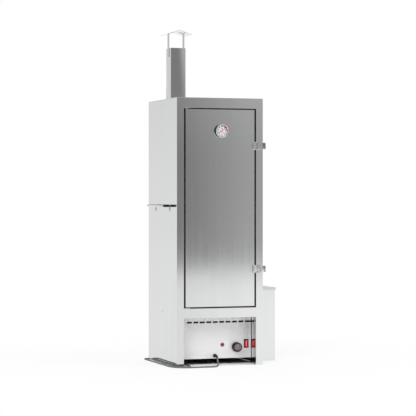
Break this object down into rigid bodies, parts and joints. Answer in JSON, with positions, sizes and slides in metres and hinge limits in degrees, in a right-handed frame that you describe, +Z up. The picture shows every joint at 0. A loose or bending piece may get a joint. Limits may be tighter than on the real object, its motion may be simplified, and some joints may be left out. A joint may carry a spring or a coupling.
{
  "type": "vertical electric water smoker",
  "caption": "Tall insulated steel smoker cabinet with a hinged front door on toggle latches, wire racks over a water pan, a capped chimney and a side smoke generator.",
  "frame": {"origin": "middle of the whole smoker's footprint, on the floor, measured without its mains lead", "axes": "+Z up, +Y from the door towards the back, +X towards the smoke generator"},
  "size_m": [0.569, 0.4924, 1.4975],
  "materials": {
    "steel": "satin stainless sheet",
    "polished_steel": "polished stainless",
    "chamber_steel": "plain stainless sheet and wire",
    "wool": "mineral wool",
    "seal": "silicone rope seal",
    "black_plastic": "moulded black",
    "grey_cable": "grey sheathed lead",
    "red_plastic": "translucent red",
    "black_metal": "black enamel",
    "dial_white": "white enamel",
    "pointer_red": "red paint",
    "glass": "clear",
    "element": "oxidised heater sheath",
    "terminal": "ceramic block",
    "brass": "turned brass"
  },
  "bodies": {
    "cabinet": {"ash_tray": "chamber_steel", "cabinet_insulation": "wool", "cable_gland": "black_plastic", "cap_straps": "steel", "carry_handle_left": "polished_steel", "carry_handle_right": "polished_steel", "chamber_liner": "chamber_steel", "chip_hopper": "chamber_steel", "chip_igniter": "element", "control_panel": "steel", "cord_coil": "grey_cable", "door_pivots": "polished_steel", "door_stop_flange": "chamber_steel", "element_mounts": "chamber_steel", "flue_tube": "steel", "front_frame": "steel", "generator_casing": "steel", "generator_lid_pin": "polished_steel", "heating_element": "element", "lamp_bezel": "polished_steel", "lamp_lens": "red_plastic", "latch_bases": "polished_steel", "latch_pins": "polished_steel", "mains_cord": "grey_cable", "mains_plug": "black_plastic", "outer_casing": "steel", "plinth_floor": "steel", "plinth_lining": "polished_steel", "rack_lower": "chamber_steel", "rack_middle": "chamber_steel", "rack_rails": "chamber_steel", "rack_upper": "chamber_steel", "rain_cap": "steel", "rivets": "polished_steel", "rocker_bezel": "black_plastic", "roof_panel": "steel", "smoke_duct": "chamber_steel", "terminal_block": "terminal", "thermostat_body": "black_plastic", "water_pan": "chamber_steel"},
    "door": {"door_outer_panel": "steel", "door_inner_panel": "chamber_steel", "door_insulation": "wool", "door_seal": "seal", "door_bushes": "brass", "thermometer_case": "black_metal", "thermometer_bezel": "polished_steel", "thermometer_dial": "dial_white", "thermometer_lens": "glass", "thermometer_stem": "polished_steel", "latch_keepers": "polished_steel"},
    "pointer": {"thermometer_pointer": "pointer_red"},
    "lever_upper": {"latch_lever_upper": "polished_steel"},
    "lever_lower": {"latch_lever_lower": "polished_steel"},
    "bail_upper": {"latch_bail_upper": "polished_steel"},
    "bail_lower": {"latch_bail_lower": "polished_steel"},
    "knob": {"thermostat_knob": "black_plastic"},
    "rocker": {"rocker_switch": "red_plastic"},
    "generator_lid": {"generator_lid": "steel"}
  },
  "joints": [
    {"name": "door_hinge", "type": "hinge", "parent": "cabinet", "child": "door", "pos_m": [-0.1905, -0.19275, 0.7], "axis": [0, 0, -1], "range_deg": [0, 100]},
    {"name": "latch_lever_upper", "type": "hinge", "parent": "cabinet", "child": "lever_upper", "pos_m": [0.14, -0.21425, 0.97], "axis": [0, 0, -1], "range_deg": [0, 95]},
    {"name": "latch_bail_upper", "type": "hinge", "parent": "lever_upper", "child": "bail_upper", "pos_m": [0.146, -0.21075, 0.97], "axis": [0, 0, 1], "range_deg": [0, 190]},
    {"name": "latch_lever_lower", "type": "hinge", "parent": "cabinet", "child": "lever_lower", "pos_m": [0.14, -0.21425, 0.425], "axis": [0, 0, -1], "range_deg": [0, 95]},
    {"name": "latch_bail_lower", "type": "hinge", "parent": "lever_lower", "child": "bail_lower", "pos_m": [0.146, -0.21075, 0.425], "axis": [0, 0, 1], "range_deg": [0, 190]},
    {"name": "thermostat_turn", "type": "hinge", "parent": "cabinet", "child": "knob", "pos_m": [0.066, -0.12325, 0.074], "axis": [0, 1, 0], "range_deg": [0, 270]},
    {"name": "rocker_tilt", "type": "hinge", "parent": "cabinet", "child": "rocker", "pos_m": [0.1125, -0.12025, 0.0885], "axis": [-1, 0, 0], "range_deg": [0, 10]},
    {"name": "pointer_turn", "type": "hinge", "parent": "door", "child": "pointer", "pos_m": [-0.034, -0.21525, 1.034], "axis": [0, 1, 0], "range_deg": [0, 240]},
    {"name": "generator_lid_hinge", "type": "hinge", "parent": "cabinet", "child": "generator_lid", "pos_m": [0.2215, 0.16375, 0.3285], "axis": [-1, 0, 0], "range_deg": [0, 100]}
  ],
  "couplings": [
    {"joint": "latch_bail_upper", "follows": "latch_lever_upper", "ratio": 2},
    {"joint": "latch_bail_lower", "follows": "latch_lever_lower", "ratio": 2}
  ]
}
